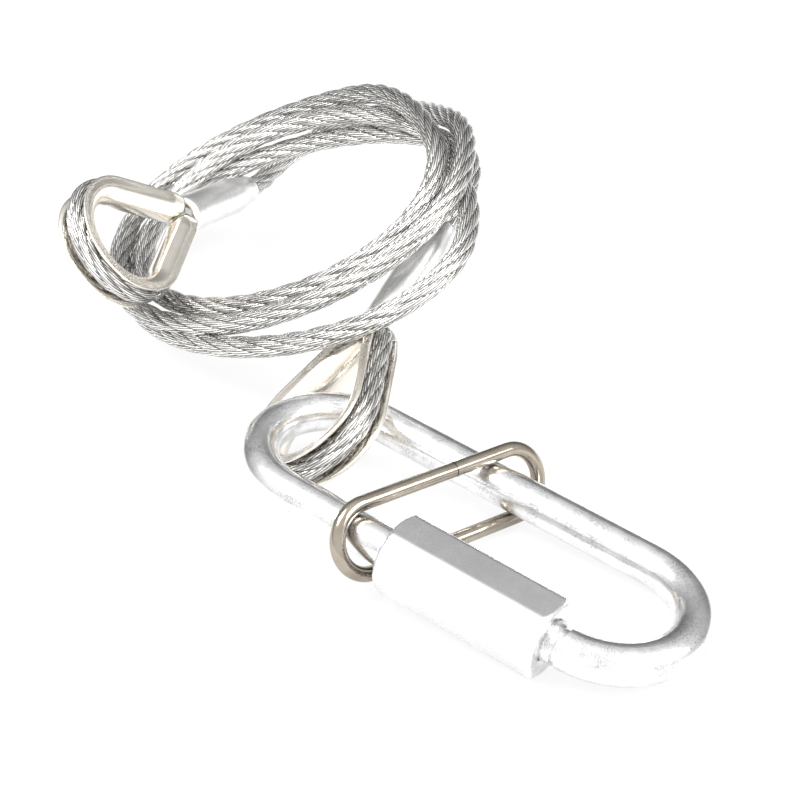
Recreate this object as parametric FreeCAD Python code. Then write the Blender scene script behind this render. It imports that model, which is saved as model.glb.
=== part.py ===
"""Wire rope safety tether, lying as if just put down.

A galvanised wire rope is coiled in three and a bit turns. Each end is turned back round a
thimble and pressed into a ferrule. One eye hangs on a long quick link, which opens with a
hexagonal sleeve nut and keeps a wire ring round both its legs.

The link has a frame of its own: u along its legs, v across them and w square to both. The
finished model is moved so that its origin lies on the floor, under the middle of the link,
its nut, its keeper and the eye fitting on it.
"""
import FreeCAD, Part
import math
import os

Vector = FreeCAD.Vector
Rotation = FreeCAD.Rotation
Placement = FreeCAD.Placement

# Quick link: round wire bent into a long loop with one leg cut.
wire_diameter = 5.0
link_outer_length = 64.0
link_outer_width = 25.0
link_tilt = 5.64                    # degrees, left bend raised by the eye fitting under it
link_roll = -4.53                   # degrees, front leg raised by the nut under it
floor_gap = 0.07

# Thread and sleeve nut on the front leg.
thread_pitch = 0.8
thread_depth = 0.35
opening_width = 6.4                 # cut in the leg, covered by the nut
opening_start = 8.4                 # u where the long threaded stub ends
nut_across_flats = 9.0
nut_length = 21.8
nut_start = -3.7                    # u of the nut's end on the keeper side
nut_bore_clearance = 0.05
nut_chamfer = 0.7
neck_groove_u = 19.2
neck_groove_width = 0.7
neck_groove_depth = 0.35

# Keeper: a wire ring round both legs.
keeper_wire = 1.9
keeper_length = 31.0                # along the centre line, across the legs
keeper_gap = 0.35                   # from each bar to the legs
keeper_centre_u = -4.4
keeper_centre_v = 0.6
keeper_skew = 0.29                  # u gained per v
keeper_lean = 4.0                   # u between the lower and the upper bar
keeper_seam = 0.12                  # butt joint in the upper bar
keeper_seam_place = 2.7             # from the middle of the bar

# Wire rope, thimbles and ferrules.
rope_diameter = 3.0
thimble_radius = 8.0                # of the rope's centre line round the thimble
thimble_apex = 18.0                 # from the round end's centre to where the legs would meet
thimble_clearance = 0.12
thimble_sheet = 0.55
thimble_lip = 0.4                   # flange edge beyond the rope's centre line
thimble_leg = 11.5                  # straight part of each leg
eye_rope_leg = 12.6
ferrule_diameter = 5.6
ferrule_length = 19.1
ferrule_start = 15.7                # from the round end's centre
ferrule_taper = 5.0
ferrule_mouth_diameter = 4.3
ferrule_edge = 0.5

# Places of the two eye fittings: round end's centre, way to the ferrule, axis of the eye.
link_eye_centre = Vector(-25.7, 3.7, 8.0)
link_eye_way = Vector(-0.10, 0.925, 0.37)
link_eye_axis = Vector(0.45, 0.37, -0.81)
free_eye_centre = Vector(-66.9, 12.2, 17.0)
free_eye_way = Vector(-0.18, 0.955, -0.235)
free_eye_axis = Vector(-0.72, -0.29, -0.63)

# Coil of the rope: a ring of several turns, its far side resting on the ferrule.
coil_centre = Vector(-54.4, 33.0, 16.65)
coil_half_long = 30.0
coil_half_short = 22.3
coil_turn = -13.0                   # degrees, long axis of the ring seen from above
coil_slope_x = 0.37
coil_slope_y = 0.42
coil_section_radius = 2.6

# Rope from each ferrule to the coil, as corner points of its route.
lead_points = [(-29.2, 35.8, 20.9), (-30.1, 44.7, 24.4), (-35.0, 52.0, 26.0)]
tail_points = [
    (-73.2, 45.4, 8.8), (-75.3, 54.7, 8.2), (-72.7, 64.6, 10.0), (-64.9, 71.2, 12.7),
    (-54.5, 71.8, 16.2), (-45.8, 66.5, 19.5), (-40.3, 57.8, 21.9),
]


def unit(vector):
    """The same direction with length 1."""
    return Vector(vector).multiply(1.0 / vector.Length)


def swept(section, edges):
    """A solid made by moving the closed wire section along the edges."""
    shell = Part.Wire(edges).makePipeShell([section], True, False)
    return Part.Solid(Part.Shell(shell.Faces)) if shell.ShapeType != "Solid" else shell


def rod(edges, radius):
    """A round rod along the edges."""
    first = edges[0]
    start = first.valueAt(first.FirstParameter)
    axis = first.tangentAt(first.FirstParameter)
    circle = Part.Wire([Part.makeCircle(radius, start, axis)])
    return swept(circle, edges)


def turned(outline, centre, axis):
    """A solid of revolution: outline holds (distance along axis, radius) pairs."""
    way = unit(axis)
    side = way.cross(Vector(0, 0, 1) if abs(way.z) < 0.9 else Vector(1, 0, 0))
    side.normalize()
    points = [centre + way * along + side * radius for along, radius in outline]
    face = Part.Face(Part.makePolygon(points + points[:1]))
    return face.revolve(centre, way, 360)


# ---------------------------------------------------------------- quick link

wire_radius = wire_diameter / 2
leg_v = (link_outer_width - wire_diameter) / 2
straight_half = (link_outer_length - link_outer_width) / 2
opening_end = opening_start + opening_width
nut_end = nut_start + nut_length
front_leg = Vector(0, -leg_v, 0)
along_leg = Vector(1, 0, 0)


def link_lift():
    """Height of the link's middle at which its lowest point stands on the floor."""
    slope_x = math.sin(math.radians(link_tilt))
    slope_y = math.cos(math.radians(link_tilt)) * math.sin(math.radians(link_roll))
    drop = straight_half * slope_x + leg_v * math.hypot(slope_x, slope_y)
    return wire_radius + drop + floor_gap


link_turn = Rotation(Vector(0, 1, 0), link_tilt) * Rotation(Vector(1, 0, 0), link_roll)
link_place = Placement(Vector(0, 0, link_lift()), link_turn)


def placed_on_link(shape):
    """The shape moved from the link's own frame to where the link lies."""
    shape.Placement = link_place * shape.Placement
    return shape


def thread_cutter(start, end, inner, outer):
    """Rings of V section every pitch from start to end, to cut a thread's grooves."""
    half = thread_pitch * 0.4
    rings = []
    for index in range(int((end - start) / thread_pitch)):
        middle = start + (index + 0.5) * thread_pitch
        outline = [(middle - half, outer), (middle, inner), (middle + half, outer)]
        if outer < inner:
            outline.reverse()
        rings.append(turned(outline, front_leg, along_leg))
    return rings


def quick_link():
    """The bent wire, threaded at both sides of its opening."""
    left = Vector(-straight_half, 0, 0)
    right = Vector(straight_half, 0, 0)
    front = Vector(0, -leg_v, 0)
    back = Vector(0, leg_v, 0)
    edges = [
        Part.LineSegment(Vector(opening_start, -leg_v, 0), left + front).toShape(),
        Part.Arc(left + front, left + Vector(-leg_v, 0, 0), left + back).toShape(),
        Part.LineSegment(left + back, right + back).toShape(),
        Part.Arc(right + back, right + Vector(leg_v, 0, 0), right + front).toShape(),
        Part.LineSegment(right + front, Vector(opening_end, -leg_v, 0)).toShape(),
    ]
    body = rod(edges, wire_radius)
    beyond = wire_radius + 0.2
    cutters = thread_cutter(nut_end - nut_length / 2 - 8.0, opening_start, wire_radius - thread_depth, beyond)
    cutters += thread_cutter(opening_end, nut_end - 0.3, wire_radius - thread_depth, beyond)
    groove = [
        (neck_groove_u, wire_radius - neck_groove_depth),
        (neck_groove_u + neck_groove_width, wire_radius - neck_groove_depth),
        (neck_groove_u + neck_groove_width, beyond),
        (neck_groove_u, beyond),
    ]
    cutters.append(turned(groove, front_leg, along_leg))
    return placed_on_link(body.cut(cutters))


def sleeve_nut():
    """Hexagonal sleeve with turned ends, threaded in the half over the short stub."""
    across_corners = nut_across_flats / math.cos(math.radians(30))
    start = front_leg + along_leg * nut_start
    corners = []
    for index in range(7):
        angle = math.radians(60 * index)
        offset = Vector(0, math.cos(angle), math.sin(angle)) * (across_corners / 2)
        corners.append(start + offset)
    prism = Part.Face(Part.makePolygon(corners)).extrude(along_leg * nut_length)
    face_radius = nut_across_flats / 2 - nut_chamfer * 0.4
    corner_radius = across_corners / 2 + 0.2
    depth = (corner_radius - face_radius) * math.tan(math.radians(35))
    envelope = [
        (nut_start, 0), (nut_start, face_radius), (nut_start + depth, corner_radius),
        (nut_end - depth, corner_radius), (nut_end, face_radius), (nut_end, 0),
    ]
    body = prism.common(turned(envelope, front_leg, along_leg))
    bore_radius = wire_radius + nut_bore_clearance
    bore = Part.makeCylinder(bore_radius, nut_length + 2, start - along_leg, along_leg)
    body = body.cut(bore)
    grooves = thread_cutter(nut_end - nut_length / 2, nut_end - 1.0, bore_radius + thread_depth, bore_radius - 0.2)
    return placed_on_link(body.cut(grooves))


def keeper_ring():
    """Wire bent into a long ring round both legs, its ends butted in the upper bar."""
    bar_w = wire_radius + keeper_wire / 2 + keeper_gap
    across = unit(Vector(keeper_skew, 1, 0))
    upward = Vector(-keeper_lean, 0, 2 * bar_w)
    upward = upward - across * upward.dot(across)
    end_radius = upward.Length / 2
    upward = unit(upward)
    centre = Vector(keeper_centre_u, keeper_centre_v, 0)
    half = keeper_length / 2 - end_radius
    seam = centre + upward * end_radius + across * keeper_seam_place
    corner = [centre + across * (side * half) + upward * (top * end_radius)
              for side, top in ((1, 1), (1, -1), (-1, -1), (-1, 1))]
    far = centre + across * (half + end_radius)
    near = centre - across * (half + end_radius)
    edges = [
        Part.LineSegment(seam + across * (keeper_seam / 2), corner[0]).toShape(),
        Part.Arc(corner[0], far, corner[1]).toShape(),
        Part.LineSegment(corner[1], corner[2]).toShape(),
        Part.Arc(corner[2], near, corner[3]).toShape(),
        Part.LineSegment(corner[3], seam - across * (keeper_seam / 2)).toShape(),
    ]
    return placed_on_link(rod(edges, keeper_wire / 2))


# ---------------------------------------------------------------- eye fittings

rope_radius = rope_diameter / 2


class Eye:
    """Where one eye fitting lies, with the axes that its pieces are made on."""

    def __init__(self, centre, way, axis):
        self.centre = centre
        self.way = unit(way)
        self.axis = unit(axis - self.way * axis.dot(self.way))
        self.side = self.axis.cross(self.way)

    def point(self, along, across):
        return self.centre + self.way * along + self.side * across

    def loop(self, leg):
        """The rope's centre line round the thimble, with legs of that length."""
        half_angle = math.asin(thimble_radius / thimble_apex)
        along = thimble_radius * math.sin(half_angle)
        across = thimble_radius * math.cos(half_angle)
        run_along = leg * math.cos(half_angle)
        run_across = leg * math.sin(half_angle)
        first = self.point(along + run_along, across - run_across)
        last = self.point(along + run_along, run_across - across)
        return [
            Part.LineSegment(first, self.point(along, across)).toShape(),
            Part.Arc(self.point(along, across), self.point(-thimble_radius, 0),
                     self.point(along, -across)).toShape(),
            Part.LineSegment(self.point(along, -across), last).toShape(),
        ]


def thimble(eye):
    """A trough of bent sheet round the eye, open outwards, which the rope lies in."""
    edges = eye.loop(thimble_leg)
    start = edges[0].valueAt(edges[0].FirstParameter)
    run = edges[0].tangentAt(edges[0].FirstParameter)
    outward = run.cross(eye.axis)
    if outward.dot(eye.side) < 0:
        outward = outward * -1
    inner = rope_radius + thimble_clearance
    outer = inner + thimble_sheet

    def at(out, across):
        return start + outward * out + eye.axis * across

    section = Part.Wire([
        Part.makeLine(at(thimble_lip, -outer), at(0, -outer)),
        Part.Arc(at(0, -outer), at(-outer, 0), at(0, outer)).toShape(),
        Part.makeLine(at(0, outer), at(thimble_lip, outer)),
        Part.makeLine(at(thimble_lip, outer), at(thimble_lip, inner)),
        Part.makeLine(at(thimble_lip, inner), at(0, inner)),
        Part.Arc(at(0, inner), at(-inner, 0), at(0, -inner)).toShape(),
        Part.makeLine(at(0, -inner), at(thimble_lip, -inner)),
        Part.makeLine(at(thimble_lip, -inner), at(thimble_lip, -outer)),
    ])
    return swept(section, edges)


def eye_rope(eye):
    """The rope's turn round the thimble, from the ferrule and back to it."""
    return rod(eye.loop(eye_rope_leg), rope_radius)


def ferrule(eye):
    """The pressed sleeve, tapered where the single rope leaves it."""
    wide = ferrule_diameter / 2
    mouth = ferrule_mouth_diameter / 2
    end = ferrule_start + ferrule_length
    outline = [
        (ferrule_start, 0), (ferrule_start, wide - ferrule_edge), (ferrule_start + ferrule_edge, wide),
        (end - ferrule_taper, wide), (end - ferrule_edge, mouth + ferrule_edge / 2),
        (end, mouth - ferrule_edge / 2), (end, 0),
    ]
    return turned(outline, eye.centre, eye.way)


# ---------------------------------------------------------------- free rope

def rope_run(name, start, points):
    """A plain tube along straight runs joined by tangent arcs, from start."""
    corners = [start] + [Vector(*point) for point in points[1:]]
    edges = []
    at = corners[0]
    length = 0.0
    for before, corner, after in zip(corners, corners[1:], corners[2:]):
        back = before - corner
        onward = after - corner
        turn = math.pi - back.getAngle(onward)
        cut = 0.45 * min(back.Length, onward.Length)
        radius = cut / math.tan(turn / 2)
        print(name, "turn", round(math.degrees(turn), 1), "radius", round(radius, 1))
        first = corner + unit(back) * cut
        last = corner + unit(onward) * cut
        middle_way = unit(unit(back) + unit(onward))
        middle = corner + middle_way * (radius / math.cos(turn / 2) - radius)
        edges.append(Part.LineSegment(at, first).toShape())
        edges.append(Part.Arc(first, middle, last).toShape())
        at = last
    edges.append(Part.LineSegment(at, corners[-1]).toShape())
    length = sum(edge.Length for edge in edges)
    tube = rod(edges, rope_radius)
    section = math.pi * rope_radius ** 2
    print(name, "length", round(length, 1), "volume ratio", round(tube.Volume / section / length, 4))
    return tube


def rope_coil():
    """The outer shape of all the coil's turns together."""
    ring = Part.makeTorus(1.0, coil_section_radius / coil_half_long)
    stretch = FreeCAD.Matrix()
    stretch.scale(coil_half_long, coil_half_short, coil_half_long)
    ring = ring.transformGeometry(stretch)
    level = FreeCAD.Matrix()
    level.A31 = coil_slope_x
    level.A32 = coil_slope_y
    ring.rotate(Vector(0, 0, 0), Vector(0, 0, 1), coil_turn)
    ring = ring.transformGeometry(level)
    ring.translate(coil_centre)
    return ring


# ---------------------------------------------------------------- the whole tether

link_eye = Eye(link_eye_centre, link_eye_way, link_eye_axis)
free_eye = Eye(free_eye_centre, free_eye_way, free_eye_axis)
mouth_at = ferrule_start + ferrule_length

nodes = {
    "quick_link": quick_link(),
    "sleeve_nut": sleeve_nut(),
    "keeper_ring": keeper_ring(),
    "link_thimble": thimble(link_eye),
    "link_eye_rope": eye_rope(link_eye),
    "link_ferrule": ferrule(link_eye),
    "free_thimble": thimble(free_eye),
    "free_eye_rope": eye_rope(free_eye),
    "free_ferrule": ferrule(free_eye),
    "rope_lead": rope_run("rope_lead", link_eye.point(mouth_at, 0), lead_points),
    "rope_tail": rope_run("rope_tail", free_eye.point(mouth_at, 0), tail_points),
    "rope_coil": rope_coil(),
}
hardware = ["quick_link", "sleeve_nut", "keeper_ring", "link_thimble", "link_eye_rope", "link_ferrule"]

box = Part.makeCompound([nodes[name] for name in hardware]).optimalBoundingBox(False)
origin = Vector((box.XMin + box.XMax) / 2, (box.YMin + box.YMax) / 2, box.ZMin)
print("origin in the link's plan", [round(value, 3) for value in origin])

os.makedirs("parts", exist_ok=True)
for name, shape in nodes.items():
    shape.translate(origin * -1)
    shape.exportStep(os.path.join("parts", name + ".step"))
    bounds = shape.optimalBoundingBox(False)
    print(name, shape.ShapeType, "solids", len(shape.Solids), "valid", shape.isValid(),
          "volume", round(shape.Volume, 1), "z", round(bounds.ZMin, 2), round(bounds.ZMax, 2))
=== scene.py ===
"""Looks of a wire rope safety tether: quick link, wire keeper, and a coiled rope with two
thimble eyes. Lengths are in metres; MM turns the maker's millimetres into them."""

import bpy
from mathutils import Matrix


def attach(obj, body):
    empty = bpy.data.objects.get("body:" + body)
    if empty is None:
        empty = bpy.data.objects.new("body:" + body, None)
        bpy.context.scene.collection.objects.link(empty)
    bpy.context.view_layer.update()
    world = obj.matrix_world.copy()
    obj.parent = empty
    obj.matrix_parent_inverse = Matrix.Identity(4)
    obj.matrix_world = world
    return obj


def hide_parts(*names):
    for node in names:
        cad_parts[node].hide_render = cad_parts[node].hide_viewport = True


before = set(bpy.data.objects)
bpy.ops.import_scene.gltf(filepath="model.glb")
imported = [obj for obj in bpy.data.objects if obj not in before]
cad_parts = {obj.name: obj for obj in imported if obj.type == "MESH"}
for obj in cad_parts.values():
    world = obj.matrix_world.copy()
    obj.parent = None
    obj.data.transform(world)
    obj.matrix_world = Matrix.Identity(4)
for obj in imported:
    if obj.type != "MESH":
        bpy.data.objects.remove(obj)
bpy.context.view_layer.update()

import math

import bpy
import numpy as np
from mathutils import Vector

MM = 0.001

# ---------------------------------------------------------------- camera

CAMERA_TARGET = Vector((-26.32, 12.89, -0.07)) * MM
CAMERA_AZIMUTH = 36.41
CAMERA_ELEVATION = 34.53
CAMERA_DISTANCE = 246.78 * MM
CAMERA_LENS, CAMERA_SENSOR = 81.0, 36.0


def add_camera():
    """The product camera: it looks down from the front right at the middle of the tether."""
    azimuth, elevation = math.radians(CAMERA_AZIMUTH), math.radians(CAMERA_ELEVATION)
    back = Vector((math.sin(azimuth) * math.cos(elevation),
                   -math.cos(azimuth) * math.cos(elevation), math.sin(elevation)))
    camera = bpy.data.objects.new("camera", bpy.data.cameras.new("camera"))
    camera.location = CAMERA_TARGET + back * CAMERA_DISTANCE
    camera.rotation_euler = back.to_track_quat("Z", "Y").to_euler()
    camera.data.lens = CAMERA_LENS
    camera.data.sensor_width = CAMERA_SENSOR
    camera.data.clip_start = 0.01
    camera.data.clip_end = 20.0
    bpy.context.scene.collection.objects.link(camera)
    bpy.context.scene.camera = camera


add_camera()

# ---------------------------------------------------------------- the sizes of the part

# Where the origin is in the part's plan, in millimetres: on the floor, under the middle of the
# link, its nut, its keeper and the eye fitting on it. The places below are places in the plan.
PLAN_ORIGIN = np.array([-1.242, 10.65, 0.07])

ROPE_DIAMETER = 3.0
THIMBLE_RADIUS = 8.0
THIMBLE_APEX = 18.0
THIMBLE_LEG = 13.2                  # the tips run on past the part's, to where they meet
THIMBLE_MEETING = 0.12              # from the middle plane to each tip
THIMBLE_CLEARANCE = 0.12            # between the trough and the rope
THIMBLE_SHEET = 0.55
THIMBLE_INSIDE = 3.0                # from the round end's centre to a point well inside the eye
THIMBLE_TIP_LENGTH = 2.6            # over which the trough narrows to its tip
THIMBLE_TIP_SHARE = 0.8             # of its width there
TROUGH_REACH = 84.0                 # degrees from the trough's bottom to where its lips start
EYE_ROPE_LEG = 12.6
FERRULE_START = 15.7                # from the round end's centre, like the ferrule's end
FERRULE_LENGTH = 19.1
FERRULE_END = FERRULE_START + FERRULE_LENGTH
FERRULE_DIAMETER = 5.6
FERRULE_MOUTH = 4.3
FERRULE_TAPER = 5.0
FERRULE_TAPER_SHARE = 0.92          # of the way down to the mouth; the lip does the rest
ROPE_STEP = 0.46                    # between the rings of points along the rope
EYE_STEP, THIMBLE_STEP = 0.4, 0.5   # between the points of the line round an eye


def unit(vector):
    vector = np.asarray(vector, float)
    return vector / np.linalg.norm(vector)


class Eye:
    """Where an eye fitting lies: its round end's centre, the way to its ferrule, its axis."""

    def __init__(self, centre, way, axis):
        self.centre = np.array(centre) - PLAN_ORIGIN
        self.way = unit(way)
        axis = np.asarray(axis, float)
        self.axis = unit(axis - self.way * (axis @ self.way))
        self.side = np.cross(self.axis, self.way)

    def point(self, along, across=0.0, out=0.0):
        return self.centre + self.way * along + self.side * across + self.axis * out

    def loop(self, leg, step):
        """Points of the line round the eye, a step apart, with straight legs of that length."""
        half_angle = math.asin(THIMBLE_RADIUS / THIMBLE_APEX)
        cosine, sine = math.cos(half_angle), math.sin(half_angle)
        along, across = THIMBLE_RADIUS * sine, THIMBLE_RADIUS * cosine
        parts = np.linspace(1, 0, int(leg / step) + 1)
        legs = along + leg * cosine * parts
        spread = across - leg * sine * parts
        start = math.pi / 2 - half_angle
        arc = np.linspace(start, 2 * math.pi - start, int(2 * math.pi * THIMBLE_RADIUS / step))
        points = [self.point(u, v) for u, v in zip(legs, spread)]
        points += [self.point(THIMBLE_RADIUS * math.cos(turn), THIMBLE_RADIUS * math.sin(turn))
                   for turn in arc[1:-1]]
        points += [self.point(u, -v) for u, v in zip(legs[::-1], spread[::-1])]
        return np.array(points)


link_eye = Eye((-25.7, 3.7, 8.0), (-0.10, 0.925, 0.37), (0.45, 0.37, -0.81))
free_eye = Eye((-66.9, 12.2, 17.0), (-0.18, 0.955, -0.235), (-0.72, -0.29, -0.63))

# ---------------------------------------------------------------- the rope's route

COIL_CENTRE = np.array([-54.4, 33.0, 16.65]) - PLAN_ORIGIN
COIL_HALF_LONG, COIL_HALF_SHORT = 30.0, 22.3
COIL_TURN = math.radians(-13.0)
COIL_SLOPE = (0.37, 0.42)           # rise for each millimetre along x and along y
COIL_STEP = 20                      # degrees between the points of a turn, 18 to a turn
COIL_FIRST, COIL_LAST = 80, 1140    # degrees round the coil, from its first point to its last
LEAD_STRAIGHT, TAIL_STRAIGHT = 5.0, 4.0     # straight out of each ferrule, to the next point
ROUTE_RESOLUTION = 10               # points of the smooth line for each control point

# How the three turns fan out from the middle of the coil: angle round the coil in degrees,
# millimetres outwards, millimetres up.
TURN_SPREAD = [
    (80, -1.0, -4.6), (100, -3.2, -3.6), (130, -4.8, -2.9), (155, -4.8, -2.0),
    (180, -3.2, -1.5), (200, -2.0, -1.3), (225, -1.0, -1.3), (250, -1.0, -0.9),
    (270, -0.2, -0.8), (290, 0.8, -0.8), (310, 2.2, -1.4), (325, 3.6, -2.0), (340, 6.0, -2.1),
    (355, 6.6, -2.9), (370, 3.9, -3.5), (385, 0.5, -3.5), (400, -2.0, -2.1),
    (440, -2.9, -0.9), (480, -4.2, 0.7), (500, -4.6, 1.3), (540, -5.0, 1.2),
    (562, -4.2, 1.0), (582, -3.5, 0.7), (600, -3.2, 0.5), (620, -3.6, 0.3),
    (660, -4.6, 0.4), (700, -5.2, 0.4),
    (735, -4.4, 0.9), (755, -4.2, 2.2), (775, -5.0, 2.6), (790, -4.8, 2.6),
    (808, -3.0, 2.6), (826, -1.2, 1.8), (845, -1.0, 0.6), (870, -0.3, 0.6),
    (900, 0.9, 1.1), (925, 0.2, 2.2), (950, 0.7, 2.2), (975, 0.5, 1.4),
    (1000, -0.4, 0.7), (1020, -1.1, 0.6), (1050, -1.8, 0.6), (1075, -1.5, 0.6),
    (1097, -1.1, 0.4), (1118, -0.9, 0.2), (1140, 0.2, -0.4),
]
LEAD_POINTS = [(-31.6, 46.3, 24.4), (-37.2, 51.2, 25.0)]
TAIL_POINTS = [
    (-46.2, 56.6, 25.3), (-53.5, 61.4, 21.8), (-62.0, 64.4, 17.4), (-69.4, 64.4, 13.2),
    (-74.2, 61.0, 10.0), (-75.6, 55.3, 8.0),
]


def coil_point(angle, out, up):
    """A point of a turn, at that angle round the tilted oval coil."""
    turn = math.radians(angle)
    across = unit((math.cos(turn) / COIL_HALF_LONG, math.sin(turn) / COIL_HALF_SHORT))
    x = COIL_HALF_LONG * math.cos(turn) + across[0] * out
    y = COIL_HALF_SHORT * math.sin(turn) + across[1] * out
    flat_x = x * math.cos(COIL_TURN) - y * math.sin(COIL_TURN)
    flat_y = x * math.sin(COIL_TURN) + y * math.cos(COIL_TURN)
    rise = COIL_SLOPE[0] * flat_x + COIL_SLOPE[1] * flat_y + up
    return COIL_CENTRE + np.array([flat_x, flat_y, rise])


def rope_route():
    """The rope's control points, from the link's ferrule through the coil to the free one."""
    spread = np.array(TURN_SPREAD)
    points = [link_eye.point(FERRULE_END), link_eye.point(FERRULE_END + LEAD_STRAIGHT)]
    points += [np.array(point) - PLAN_ORIGIN for point in LEAD_POINTS]
    for angle in range(COIL_FIRST, COIL_LAST + 1, COIL_STEP):
        out = np.interp(angle, spread[:, 0], spread[:, 1])
        up = np.interp(angle, spread[:, 0], spread[:, 2])
        points.append(coil_point(angle, out, up))
    points += [np.array(point) - PLAN_ORIGIN for point in TAIL_POINTS]
    points += [free_eye.point(FERRULE_END + TAIL_STRAIGHT), free_eye.point(FERRULE_END)]
    return points


def spline_points(control_points):
    """The smooth line that a NURBS spline makes of the control points, in millimetres."""
    data = bpy.data.curves.new("route", "CURVE")
    data.dimensions = "3D"
    data.resolution_u = ROUTE_RESOLUTION
    spline = data.splines.new("NURBS")
    spline.points.add(len(control_points) - 1)
    for target, point in zip(spline.points, control_points):
        target.co = (*(float(value) for value in point * MM), 1.0)
    spline.order_u = 3
    spline.use_endpoint_u = True
    carrier = bpy.data.objects.new("route", data)
    bpy.context.scene.collection.objects.link(carrier)
    bpy.context.view_layer.update()
    line = bpy.data.meshes.new_from_object(carrier)
    points = np.array([vertex.co[:] for vertex in line.vertices]) / MM
    bpy.data.objects.remove(carrier)
    bpy.data.meshes.remove(line)
    bpy.data.curves.remove(data)
    return points


def line_run(points):
    """How far along a line each of its points is."""
    return np.concatenate([[0], np.cumsum(np.linalg.norm(np.diff(points, axis=0), axis=1))])


def line_ways(points):
    """The direction of a line at each of its points."""
    ways = np.gradient(points, axis=0)
    return ways / np.linalg.norm(ways, axis=1)[:, None]


def even_steps(points, step):
    """The same line with points a step apart, and how far along it each of them is."""
    gaps = np.linalg.norm(np.diff(points, axis=0), axis=1)
    points = points[np.concatenate([[True], gaps > 1e-6])]
    run = line_run(points)
    count = max(2, int(round(run[-1] / step)))
    marks = np.linspace(0, run[-1], count + 1)
    return np.stack([np.interp(marks, run, points[:, i]) for i in range(3)], axis=1), marks


# ---------------------------------------------------------------- making meshes

def wall_faces(rows, around):
    """Four-sided faces between rings of points that follow each other along a shape."""
    faces = []
    for row in range(rows - 1):
        for index in range(around):
            following = (index + 1) % around
            faces.append((row * around + index, row * around + following,
                          (row + 1) * around + following, (row + 1) * around + index))
    return faces


def end_faces(rows, around):
    """A flat face over the first ring of points and one over the last."""
    last = (rows - 1) * around
    return [tuple(range(around))[::-1], tuple(last + index for index in range(around))]


def add_piece(name, vertices, faces, body, replaced):
    """A smooth mesh from points in millimetres, riding on a body in place of its CAD nodes."""
    mesh = bpy.data.meshes.new(name)
    mesh.from_pydata([tuple(map(float, point)) for point in np.asarray(vertices) * MM], [], faces)
    mesh.update()
    mesh.polygons.foreach_set("use_smooth", [True] * len(mesh.polygons))
    piece = bpy.data.objects.new(name, mesh)
    bpy.context.scene.collection.objects.link(piece)
    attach(piece, body)
    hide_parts(*replaced)
    return piece


def carried_frames(points):
    """Two directions square to the line at each point, turned as little as they can be."""
    ways = line_ways(points)
    helper = np.array([0, 0, 1.0]) if abs(ways[0][2]) < 0.9 else np.array([1.0, 0, 0])
    normal = unit(np.cross(np.cross(ways[0], helper), ways[0]))
    normals = []
    for way in ways:
        normal = unit(normal - way * (normal @ way))
        normals.append(normal)
    normals = np.array(normals)
    return normals, np.cross(ways, normals)


STRANDS = 6
STRAND_RADIUS = ROPE_DIAMETER / 6
STRAND_CENTRE = ROPE_DIAMETER / 3
ROPE_LAY = 25.0                     # rope advanced by a strand's full turn
WIRE_LAY = 9.0                      # strand advanced by a wire's full turn, the other way
WIRES = 10                          # round a strand; fewer and coarser than real ones, so they show
STREAK_LENGTH = 5.0                 # along a wire, of a brighter or a duller stretch
STREAK_SHIFT = 17.0                 # along the rope, of one strand's streaks against the next's
GROOVE_SHARE = 0.66                 # of the full gap between round strands
SAMPLES = 12                        # points round a strand


def rope_mesh(name, points, marks, body, replaced):
    """Laid strands as one lobed tube, with the lay of their wires in its UV map."""
    normals, sides = carried_frames(points)
    reach = math.pi / STRANDS
    local = np.linspace(-reach, reach, SAMPLES + 1)
    inner = STRAND_RADIUS ** 2 - (STRAND_CENTRE * np.sin(local)) ** 2
    radius = STRAND_CENTRE * np.cos(local) + np.sqrt(np.maximum(inner, 0.0))
    radius = ROPE_DIAMETER / 2 - (ROPE_DIAMETER / 2 - radius) * GROOVE_SHARE
    own_angle = np.arctan2(radius * np.sin(local), radius * np.cos(local) - STRAND_CENTRE)
    own_turn = own_angle / (2 * math.pi)
    angles = np.concatenate([local[:-1] + 2 * reach * strand for strand in range(STRANDS)])
    radii = np.tile(radius[:-1], STRANDS)
    around = len(angles)
    twist = 2 * math.pi * marks / ROPE_LAY
    spin = angles[None, :] + twist[:, None]
    vertices = (points[:, None, :]
                + normals[:, None, :] * (radii[None, :] * np.cos(spin))[..., None]
                + sides[:, None, :] * (radii[None, :] * np.sin(spin))[..., None]).reshape(-1, 3)
    rings = len(points)
    uvs = []
    for start, stop in zip(marks[:-1], marks[1:]):
        for index in range(around):
            strand, sample = divmod(index, SAMPLES)
            first, second = own_turn[sample], own_turn[sample + 1]
            shift = STREAK_SHIFT * strand
            here, there = start / WIRE_LAY, stop / WIRE_LAY
            uvs += [(first + here, shift + start), (second + here, shift + start),
                    (second + there, shift + stop), (first + there, shift + stop)]
    uvs += [(0.0, 0.0)] * (2 * around)
    faces = wall_faces(rings, around) + end_faces(rings, around)
    piece = add_piece(name, vertices, faces, body, replaced)
    mesh = piece.data
    layer = mesh.uv_layers.new(name="wires")
    layer.data.foreach_set("uv", np.array(uvs, dtype=np.float32).ravel())
    # Height over the grooves between strands, kept for the rope's material, which paints shade into
    # the grooves with it.
    height = (np.tile(radii, rings) - radii.min()) / (radii.max() - radii.min())
    attribute = mesh.attributes.new("crown", "FLOAT", "POINT")
    attribute.data.foreach_set("value", height.astype(np.float32))
    return piece


def lathe(name, profile, start, way, segments, scale, body, replaced):
    """A turned shape from (distance, radius) pairs; scale(angle) makes it less than round."""
    way = unit(way)
    side = unit(np.cross(way, (0, 0, 1) if abs(way[2]) < 0.9 else (1, 0, 0)))
    other = np.cross(way, side)
    vertices = []
    for distance, radius in profile:
        for index in range(segments):
            angle = 2 * math.pi * index / segments
            out = side * math.cos(angle) + other * math.sin(angle)
            vertices.append(start + way * distance + out * radius * scale(angle))
    faces = wall_faces(len(profile), segments) + end_faces(len(profile), segments)
    return add_piece(name, vertices, faces, body, replaced)


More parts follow.
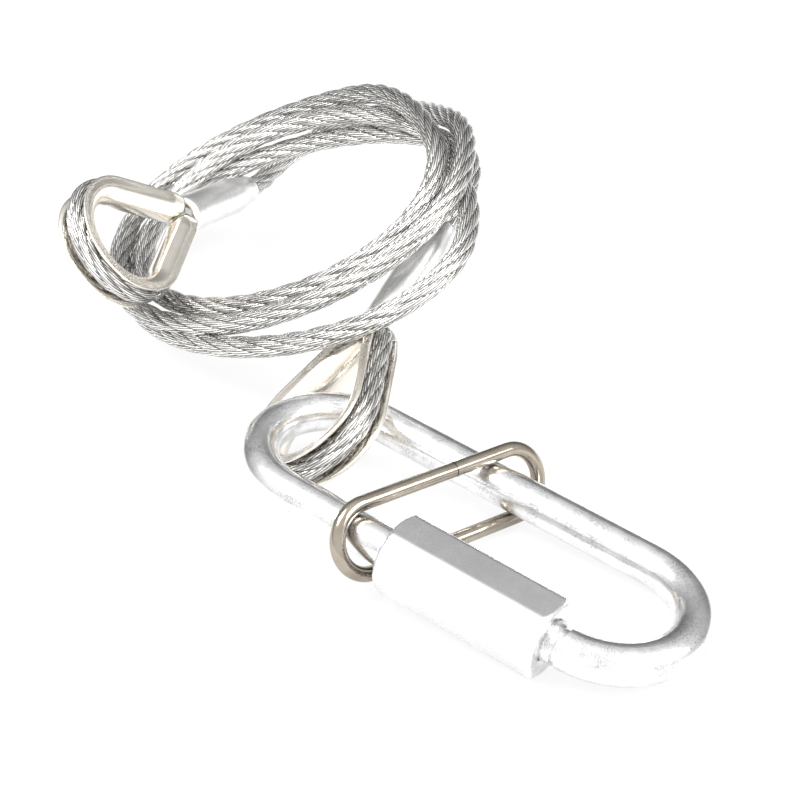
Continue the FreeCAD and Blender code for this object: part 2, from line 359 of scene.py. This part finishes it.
# ---------------------------------------------------------------- rope and eyes

route_points, route_marks = even_steps(spline_points(rope_route()), ROPE_STEP)
rope = rope_mesh("tether_rope", route_points, route_marks, "sling",
                 ["rope_lead", "rope_coil", "rope_tail"])


def thimble_section(flares):
    """The trough's section as (out from the rope's line, across); flares widen its two walls."""
    inner = ROPE_DIAMETER / 2 + THIMBLE_CLEARANCE
    outer = inner + THIMBLE_SHEET
    turns = np.linspace(0, math.radians(TROUGH_REACH), 9)
    section = []
    for side, flare in zip((1, -1), flares):
        wall, throat = outer + flare, inner + flare
        half = [(-outer * math.cos(turn), wall * math.sin(turn)) for turn in turns]
        half += [(0.3, wall + 0.04), (0.6, wall + 0.12), (0.80, wall + 0.2)]
        half += [(0.88, wall + 0.1), (0.84, wall - 0.12), (0.6, wall - 0.3), (0.3, wall - 0.44)]
        half += [(-inner * math.cos(turn), throat * math.sin(turn)) for turn in turns[::-1]]
        half = [(out, side * across) for out, across in half]
        section += half if side == 1 else half[-2:0:-1]
    return section


def thimble(name, eye, node, flares):
    """A bent sheet trough with flared lips, its legs drawn together into a point."""
    points = eye.loop(THIMBLE_LEG, THIMBLE_STEP)
    section = thimble_section(flares)
    run = line_run(points)
    vertices = []
    for index, (point, way) in enumerate(zip(points, line_ways(points))):
        outward = unit(np.cross(way, eye.axis))
        if outward @ (point - eye.point(THIMBLE_INSIDE)) < 0:
            outward = -outward
        leg_side = 1.0 if index < len(points) / 2 else -1.0
        on_leg = (point - eye.centre) @ eye.way > THIMBLE_INSIDE
        from_tip = min(run[index], run[-1] - run[index])
        whole = min(1.0, from_tip / THIMBLE_TIP_LENGTH)
        narrow = THIMBLE_TIP_SHARE + (1 - THIMBLE_TIP_SHARE) * whole
        for out, across in section:
            place = point + outward * out + eye.axis * across * narrow
            past = THIMBLE_MEETING - leg_side * ((place - eye.centre) @ eye.side)
            if on_leg and past > 0:
                place = place + eye.side * leg_side * past
            vertices.append(place)
    faces = wall_faces(len(points), len(section)) + end_faces(len(points), len(section))
    return add_piece(name, vertices, faces, "sling", [node])


FERRULE_SEGMENTS = 144
PRESS_SEAM, PRESS_SEAM_WIDTH = 0.018, 0.035     # shares of the radius
PRESS_OVAL = 0.012


def ferrule(name, eye, node):
    """A pressed sleeve: rounded start, straight barrel, smooth taper down to the rope."""
    wide, mouth, end = FERRULE_DIAMETER / 2, FERRULE_MOUTH / 2, FERRULE_LENGTH
    taper = end - FERRULE_TAPER
    # The start: a hollow round the rope, then a rounded edge.
    profile = [(0.35, 1.2), (0.0, 1.6), (0.0, wide - 0.55), (0.08, wide - 0.28),
               (0.26, wide - 0.08), (0.55, wide)]
    profile += [(distance, wide) for distance in np.linspace(1.4, taper - 1.2, 10)]
    for part in np.linspace(0.0, 1.0, 9):
        ease = part * part * (3 - 2 * part)
        profile.append((taper - 0.6 + (FERRULE_TAPER + 0.1) * part,
                        wide - (wide - mouth) * ease * FERRULE_TAPER_SHARE))
    # The mouth: a small rounded lip, turned in to the rope.
    profile += [(end - 0.18, mouth - 0.02), (end, mouth - 0.2), (end, 1.62), (end - 0.4, 1.5)]

    def pressed(angle):
        """The press leaves a fine seam on two sides and a slightly oval barrel."""
        seam = PRESS_SEAM * math.exp(-(math.sin(angle) / PRESS_SEAM_WIDTH) ** 2)
        return 1.0 + seam + PRESS_OVAL * math.cos(2 * angle)
    return lathe(name, profile, eye.point(FERRULE_START), eye.way, FERRULE_SEGMENTS, pressed,
                 "sling", [node])


# How much wider than the rope needs each trough's far and near wall stands.
FLARES = {"link": (0.36, 0.44), "free": (0.68, 0.096)}

eyes = {}
for label, eye in (("link", link_eye), ("free", free_eye)):
    eye_points, eye_marks = even_steps(eye.loop(EYE_ROPE_LEG, EYE_STEP), ROPE_STEP)
    eyes[label] = {
        "thimble": thimble(label + "_eye_thimble", eye, label + "_thimble", FLARES[label]),
        "rope": rope_mesh(label + "_eye_strands", eye_points, eye_marks, "sling",
                          [label + "_eye_rope"]),
        "ferrule": ferrule(label + "_pressed_ferrule", eye, label + "_ferrule"),
    }

# ---------------------------------------------------------------- sleeve nut

# The link's own frame: u along its legs, v across them and w square to both.
LINK_TILT, LINK_ROLL = math.radians(5.64), math.radians(-4.53)
WIRE_DIAMETER = 5.0
LEG_V = 10.0                        # from the middle of the link to each leg
STRAIGHT_HALF = 19.5
FLOOR_GAP = 0.07                    # the plan's height of the surface that the link lies on
NUT_FLATS = 9.0
NUT_START, NUT_LENGTH = -3.7, 21.8
NUT_BORE_CLEARANCE = 0.05
NUT_CORNER_ROUND = 0.16             # taken off the sharp hexagon's corners
NUT_SEGMENTS = 144


def on_link(point):
    """A point of the link's own frame as a place in the part, in millimetres."""
    u, v, w = point
    v, w = (v * math.cos(LINK_ROLL) - w * math.sin(LINK_ROLL),
            v * math.sin(LINK_ROLL) + w * math.cos(LINK_ROLL))
    u, w = (u * math.cos(LINK_TILT) + w * math.sin(LINK_TILT),
            -u * math.sin(LINK_TILT) + w * math.cos(LINK_TILT))
    slope_x = math.sin(LINK_TILT)
    slope_y = math.cos(LINK_TILT) * math.sin(LINK_ROLL)
    lift = STRAIGHT_HALF * slope_x + LEG_V * math.hypot(slope_x, slope_y)
    lift += WIRE_DIAMETER / 2 + FLOOR_GAP
    return np.array([u, v, w + lift]) - PLAN_ORIGIN


def sleeve_nut():
    """A hexagonal sleeve with softened corners and turned ends, hollow for the thread."""
    half_flats = NUT_FLATS / 2
    corner = half_flats / math.cos(math.radians(30)) - NUT_CORNER_ROUND
    bore = WIRE_DIAMETER / 2 + NUT_BORE_CLEARANCE
    end = NUT_START + NUT_LENGTH

    def hexagon(angle):
        face = math.degrees(angle) % 60.0 - 30.0
        return min(half_flats / math.cos(math.radians(face)), corner)

    # A turned end from the bore outwards: how far in from it, and the most the radius may be.
    turned_end = [(1.2, bore), (0.25, bore + 0.02), (0.0, bore + 0.3), (0.0, half_flats - 0.35),
                  (0.06, half_flats - 0.12), (0.2, half_flats + 0.1), (0.36, half_flats + 0.34),
                  (0.52, half_flats + 0.58), (0.8, math.inf), (1.4, math.inf)]
    rows = [(NUT_START + inset, limit) for inset, limit in turned_end]
    rows += [(place, math.inf) for place in np.linspace(NUT_START + 2.5, end - 2.5, 12)]
    rows += [(end - inset, limit) for inset, limit in reversed(turned_end)]
    vertices = []
    for place, limit in rows:
        for index in range(NUT_SEGMENTS):
            angle = 2 * math.pi * index / NUT_SEGMENTS
            radius = min(hexagon(angle), limit)
            vertices.append(on_link((place, radius * math.cos(angle) - LEG_V,
                                     -radius * math.sin(angle))))
    faces = wall_faces(len(rows), NUT_SEGMENTS)
    last = (len(rows) - 1) * NUT_SEGMENTS
    for index in range(NUT_SEGMENTS):
        following = (index + 1) % NUT_SEGMENTS
        faces.append((last + index, last + following, following, index))
    return add_piece("hex_sleeve_nut", vertices, faces, "nut", ["sleeve_nut"])


nut = sleeve_nut()

# ---------------------------------------------------------------- materials


def linear(hex_colour):
    """An sRGB hex colour as the linear RGBA that a shader takes."""
    values = [int(hex_colour[start:start + 2], 16) / 255 for start in (1, 3, 5)]
    return (*(v / 12.92 if v <= 0.04045 else ((v + 0.055) / 1.055) ** 2.4 for v in values), 1.0)


def add_node(tree, kind, settings=None, inputs=None):
    """Adds a node; each input is a value, or the socket to link it from."""
    node = tree.nodes.new(kind)
    for key, value in (settings or {}).items():
        setattr(node, key, value)
    for key, value in (inputs or {}).items():
        if isinstance(value, bpy.types.NodeSocket):
            tree.links.new(value, node.inputs[key])
        else:
            node.inputs[key].default_value = value
    return node


def new_material(name):
    material = bpy.data.materials.new(name)
    material.use_nodes = True
    material.node_tree.nodes.clear()
    return material, material.node_tree


def finish_metal(tree, colour, roughness, bump):
    """A metal surface and the material's output."""
    shader = add_node(tree, "ShaderNodeBsdfPrincipled", inputs={
        "Base Color": colour, "Metallic": 1.0, "Roughness": roughness, "Normal": bump})
    add_node(tree, "ShaderNodeOutputMaterial", inputs={"Surface": shader.outputs[0]})


def per_metre(millimetres):
    """The texture scale at which one feature is that many millimetres wide."""
    return 1.0 / (millimetres * MM)


CLOUD_MM = 3.0                      # across one lighter or darker cloud of plating
SPECK_TONE = "#98989B"              # where the plating is thick and pitted


def plated_metal(name, light, dark, roughness, spread, grain_mm, grain_height_mm, speckle):
    """A metal skin: cloudy tone, and a fine matt grain that breaks up the reflections."""
    material, tree = new_material(name)
    place = add_node(tree, "ShaderNodeTexCoord").outputs["Object"]
    clouds = add_node(tree, "ShaderNodeTexNoise", inputs={
        "Vector": place, "Scale": per_metre(CLOUD_MM), "Detail": 4.0, "Roughness": 0.6})
    grain = add_node(tree, "ShaderNodeTexNoise", inputs={
        "Vector": place, "Scale": per_metre(grain_mm), "Detail": 3.0, "Roughness": 0.65})
    tone = add_node(tree, "ShaderNodeMix", {"data_type": "RGBA"}, {
        "Factor": clouds.outputs["Fac"], "A": linear(light), "B": linear(dark)})
    thick = add_node(tree, "ShaderNodeMapRange", {"interpolation_type": "SMOOTHSTEP"}, {
        "Value": clouds.outputs["Fac"], "From Min": 0.36, "From Max": 0.66,
        "To Min": 0.0, "To Max": speckle})
    pits = add_node(tree, "ShaderNodeMapRange", inputs={
        "Value": grain.outputs["Fac"], "From Min": 0.48, "From Max": 0.58,
        "To Min": 0.0, "To Max": 1.0})
    specks = add_node(tree, "ShaderNodeMath", {"operation": "MULTIPLY"}, {
        0: thick.outputs["Result"], 1: pits.outputs["Result"]})
    tone = add_node(tree, "ShaderNodeMix", {"data_type": "RGBA"}, {
        "Factor": specks.outputs[0], "A": tone.outputs["Result"], "B": linear(SPECK_TONE)})
    matt = add_node(tree, "ShaderNodeMapRange", inputs={
        "Value": grain.outputs["Fac"], "From Min": 0.3, "From Max": 0.7,
        "To Min": roughness - spread, "To Max": roughness + spread})
    bump = add_node(tree, "ShaderNodeBump", inputs={
        "Height": grain.outputs["Fac"], "Strength": 1.0, "Distance": grain_height_mm * MM})
    finish_metal(tree, tone.outputs["Result"], matt.outputs["Result"], bump.outputs["Normal"])
    return material


# Bright zinc plating on drawn steel wire: cool light grey, slightly grainy where it was dipped.
ZINC = plated_metal("bright_zinc_plated_steel", "#F4F4F4", "#DEDEDF", roughness=0.18,
                    spread=0.06, grain_mm=0.16, grain_height_mm=0.010, speckle=0.75)
# The same zinc on a milled hexagon: flatter, so the mottling shows more than the grain.
ZINC_NUT = plated_metal("zinc_plated_milled_steel", "#F6F6F6", "#E4E4E6", roughness=0.24,
                        spread=0.06, grain_mm=0.40, grain_height_mm=0.002, speckle=0.12)
# Nickel plating on spring wire: warmer, darker and smoother than the zinc.
NICKEL_WIRE = plated_metal("nickel_plated_spring_wire", "#BDB4A6", "#7E7567", roughness=0.14,
                           spread=0.05, grain_mm=0.25, grain_height_mm=0.004, speckle=0.25)
# Nickel plating on pressed sheet: warm and light, with a wide soft shine.
NICKEL_SHEET = plated_metal("nickel_plated_pressed_sheet", "#F8F4ED", "#E9E2D6", roughness=0.20,
                            spread=0.05, grain_mm=0.40, grain_height_mm=0.003, speckle=0.10)
# Pressed aluminium: pale satin, with a fine grain from the die.
ALUMINIUM = plated_metal("pressed_aluminium", "#F8F8F7", "#E8E8E8", roughness=0.34,
                         spread=0.08, grain_mm=0.25, grain_height_mm=0.005, speckle=0.30)


ROPE_CLOUD_MM = 1.5                 # across a brighter or a duller patch of zinc
WIRE_HEIGHT_MM = 0.08               # of a wire's crown over the gap beside it
STREAKS_PER_WIRE = 0.8              # across the wires


def galvanised_strand():
    """Galvanised wires laid in strands: bright crowns, with painted shade in the gaps between wires
    and in the grooves between strands.
    """
    material, tree = new_material("galvanised_steel_wire_rope")
    wires = add_node(tree, "ShaderNodeUVMap", {"uv_map": "wires"})
    parts = add_node(tree, "ShaderNodeSeparateXYZ", inputs={"Vector": wires.outputs[0]})
    turns = add_node(tree, "ShaderNodeMath", {"operation": "MULTIPLY"}, {
        0: parts.outputs["X"], 1: 2 * math.pi * WIRES})
    wave = add_node(tree, "ShaderNodeMath", {"operation": "COSINE"}, {0: turns.outputs[0]})
    ridge = add_node(tree, "ShaderNodeMapRange", inputs={
        "Value": wave.outputs[0], "From Min": -1.0, "From Max": 0.2, "To Min": 0.0, "To Max": 1.0})
    # Painted shade in the grooves between strands: where the strands' surface is low, the colour
    # goes towards the dark grey.
    crown = add_node(tree, "ShaderNodeAttribute", {"attribute_name": "crown"})
    strand_groove_shade = add_node(tree, "ShaderNodeMapRange", {"interpolation_type": "SMOOTHSTEP"}, {
        "Value": crown.outputs["Fac"], "From Min": 0.02, "From Max": 0.45,
        "To Min": 0.2, "To Max": 1.0})
    streak_x = add_node(tree, "ShaderNodeMath", {"operation": "MULTIPLY"}, {
        0: parts.outputs["X"], 1: WIRES * STREAKS_PER_WIRE})
    streak_y = add_node(tree, "ShaderNodeMath", {"operation": "MULTIPLY"}, {
        0: parts.outputs["Y"], 1: 1 / STREAK_LENGTH})
    streak_place = add_node(tree, "ShaderNodeCombineXYZ", inputs={
        "X": streak_x.outputs[0], "Y": streak_y.outputs[0]})
    streaks = add_node(tree, "ShaderNodeTexNoise", inputs={
        "Vector": streak_place.outputs[0], "Scale": 1.0, "Detail": 2.0, "Roughness": 0.5})
    wire_tone = add_node(tree, "ShaderNodeMapRange", inputs={
        "Value": streaks.outputs["Fac"], "From Min": 0.36, "From Max": 0.52,
        "To Min": 0.40, "To Max": 1.0})
    place = add_node(tree, "ShaderNodeTexCoord").outputs["Object"]
    clouds = add_node(tree, "ShaderNodeTexNoise", inputs={
        "Vector": place, "Scale": per_metre(ROPE_CLOUD_MM), "Detail": 4.0, "Roughness": 0.65})
    # Painted shade: low between wires and in the grooves between strands; the streaks below only
    # vary it at random.
    gaps = add_node(tree, "ShaderNodeMath", {"operation": "MULTIPLY"}, {
        0: ridge.outputs["Result"], 1: strand_groove_shade.outputs["Result"]})
    shade = add_node(tree, "ShaderNodeMath", {"operation": "MULTIPLY"}, {
        0: gaps.outputs[0], 1: wire_tone.outputs["Result"]})
    bright = add_node(tree, "ShaderNodeMix", {"data_type": "RGBA"}, {
        "Factor": clouds.outputs["Fac"], "A": linear("#FBFBFA"), "B": linear("#E4E3E0")})
    # The dark grey is painted shade, put in the wire gaps and strand grooves in place of the bright
    # zinc.
    colour = add_node(tree, "ShaderNodeMix", {"data_type": "RGBA"}, {
        "Factor": shade.outputs[0], "A": linear("#625F5A"), "B": bright.outputs["Result"]})
    matt = add_node(tree, "ShaderNodeMapRange", inputs={
        "Value": clouds.outputs["Fac"], "From Min": 0.3, "From Max": 0.7,
        "To Min": 0.18, "To Max": 0.36})
    bump = add_node(tree, "ShaderNodeBump", inputs={
        "Height": ridge.outputs["Result"], "Strength": 0.8, "Distance": WIRE_HEIGHT_MM * MM})
    finish_metal(tree, colour.outputs["Result"], matt.outputs["Result"], bump.outputs["Normal"])
    return material


ROPE = galvanised_strand()


def paint(piece, material):
    if not piece.material_slots:
        piece.data.materials.append(material)
    for slot in piece.material_slots:
        slot.material = material


paint(rope, ROPE)
for fitting in eyes.values():
    paint(fitting["rope"], ROPE)
    paint(fitting["thimble"], NICKEL_SHEET)
    paint(fitting["ferrule"], ALUMINIUM)
paint(nut, ZINC_NUT)
paint(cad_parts["quick_link"], ZINC)
paint(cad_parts["keeper_ring"], NICKEL_WIRE)

# ---------------------------------------------------------------- floor, lamps and world

FLOOR_HALF = 3.0
CARD_GLOW_SEEN = 0.86               # share of plain white when the camera sees the card
CARD_GLOW_MIRRORED = 0.45           # and in metal, where its shadows count for more


def card_glow(tree):
    """The plain white share of the card, to the camera and in metal; none of it is light."""
    path = add_node(tree, "ShaderNodeLightPath")
    mirrored = add_node(tree, "ShaderNodeMath", {"operation": "MAXIMUM"}, {
        0: path.outputs["Is Glossy Ray"], 1: path.outputs["Is Transmission Ray"]})
    part = add_node(tree, "ShaderNodeMath", {"operation": "MULTIPLY"}, {
        0: mirrored.outputs[0], 1: CARD_GLOW_MIRRORED})
    seen = add_node(tree, "ShaderNodeMath", {"operation": "MULTIPLY"}, {
        0: path.outputs["Is Camera Ray"], 1: CARD_GLOW_SEEN})
    both = add_node(tree, "ShaderNodeMath", {"operation": "MAXIMUM"}, {
        0: seen.outputs[0], 1: part.outputs[0]})
    return both.outputs[0]


def add_floor():
    """A matt white sheet that keeps a faint shadow."""
    mesh = bpy.data.meshes.new("floor")
    corners = [(-FLOOR_HALF, -FLOOR_HALF, 0), (FLOOR_HALF, -FLOOR_HALF, 0),
               (FLOOR_HALF, FLOOR_HALF, 0), (-FLOOR_HALF, FLOOR_HALF, 0)]
    mesh.from_pydata(corners, [], [(0, 1, 2, 3)])
    floor = bpy.data.objects.new("floor", mesh)
    bpy.context.scene.collection.objects.link(floor)
    material, tree = new_material("matt_white_card")
    matt = add_node(tree, "ShaderNodeBsdfDiffuse", inputs={"Color": linear("#F2F2F2")})
    white = add_node(tree, "ShaderNodeEmission", inputs={
        "Color": linear("#FFFFFF"), "Strength": 1.0})
    mixed = add_node(tree, "ShaderNodeMixShader", inputs={
        0: card_glow(tree), 1: matt.outputs[0], 2: white.outputs[0]})
    add_node(tree, "ShaderNodeOutputMaterial", inputs={"Surface": mixed.outputs[0]})
    floor.data.materials.append(material)


# The way to the bright side of the studio. Each level is how near a direction is to that way,
# from 0 for the opposite way to 1 for the way itself, and how bright the studio is there.
BRIGHT_SIDE = Vector((0.45, -0.60, 0.66))
WORLD_LEVELS = [(0.10, 0.12), (0.22, 0.24), (0.38, 0.42), (0.55, 0.85), (0.78, 1.25)]


def add_world():
    """Studio surroundings: bright in front and overhead, dark behind, white when looked at."""
    world = bpy.data.worlds.new("studio")
    bpy.context.scene.world = world
    world.use_nodes = True
    tree = world.node_tree
    tree.nodes.clear()
    way = add_node(tree, "ShaderNodeTexCoord").outputs["Generated"]
    facing = add_node(tree, "ShaderNodeVectorMath", {"operation": "DOT_PRODUCT"}, {
        0: way, 1: BRIGHT_SIDE.normalized()})
    level = add_node(tree, "ShaderNodeMapRange", inputs={
        "Value": facing.outputs["Value"], "From Min": -1.0, "From Max": 1.0})
    ramp = add_node(tree, "ShaderNodeValToRGB", inputs={"Fac": level.outputs["Result"]})
    ramp.color_ramp.elements[0].position = WORLD_LEVELS[0][0]
    ramp.color_ramp.elements[1].position = WORLD_LEVELS[-1][0]
    for position, _ in WORLD_LEVELS[1:-1]:
        ramp.color_ramp.elements.new(position)
    for element, (_, grey) in zip(ramp.color_ramp.elements, WORLD_LEVELS):
        element.color = (grey, grey, grey, 1)
    path = add_node(tree, "ShaderNodeLightPath")
    studio = add_node(tree, "ShaderNodeBackground", inputs={
        "Color": ramp.outputs["Color"], "Strength": 1.0})
    white = add_node(tree, "ShaderNodeBackground", inputs={
        "Color": linear("#FFFFFF"), "Strength": 1.0})
    mixed = add_node(tree, "ShaderNodeMixShader", inputs={
        0: path.outputs["Is Camera Ray"], 1: studio.outputs[0], 2: white.outputs[0]})
    add_node(tree, "ShaderNodeOutputWorld", inputs={"Surface": mixed.outputs[0]})


LAMP_AIM = Vector((-0.03, 0.015, 0.01))


def add_softbox(name, azimuth, elevation, distance, size, watts):
    """A square soft lamp of that many metres a side, facing the middle of the tether."""
    azimuth, elevation = math.radians(azimuth), math.radians(elevation)
    way = Vector((math.sin(azimuth) * math.cos(elevation),
                  -math.cos(azimuth) * math.cos(elevation), math.sin(elevation)))
    data = bpy.data.lights.new(name, "AREA")
    data.shape = "SQUARE"
    data.size = size
    data.energy = watts
    lamp = bpy.data.objects.new(name, data)
    lamp.location = LAMP_AIM + way * distance
    lamp.rotation_euler = way.to_track_quat("Z", "Y").to_euler()
    bpy.context.scene.collection.objects.link(lamp)


add_floor()
add_world()
add_softbox("key_softbox", -40.0, 58.0, 0.55, 0.30, 2.8)
add_softbox("fill_softbox", 100.0, 38.0, 0.60, 0.34, 3.4)

bpy.context.scene.view_settings.view_transform = "Standard"

bpy.context.view_layer.update()
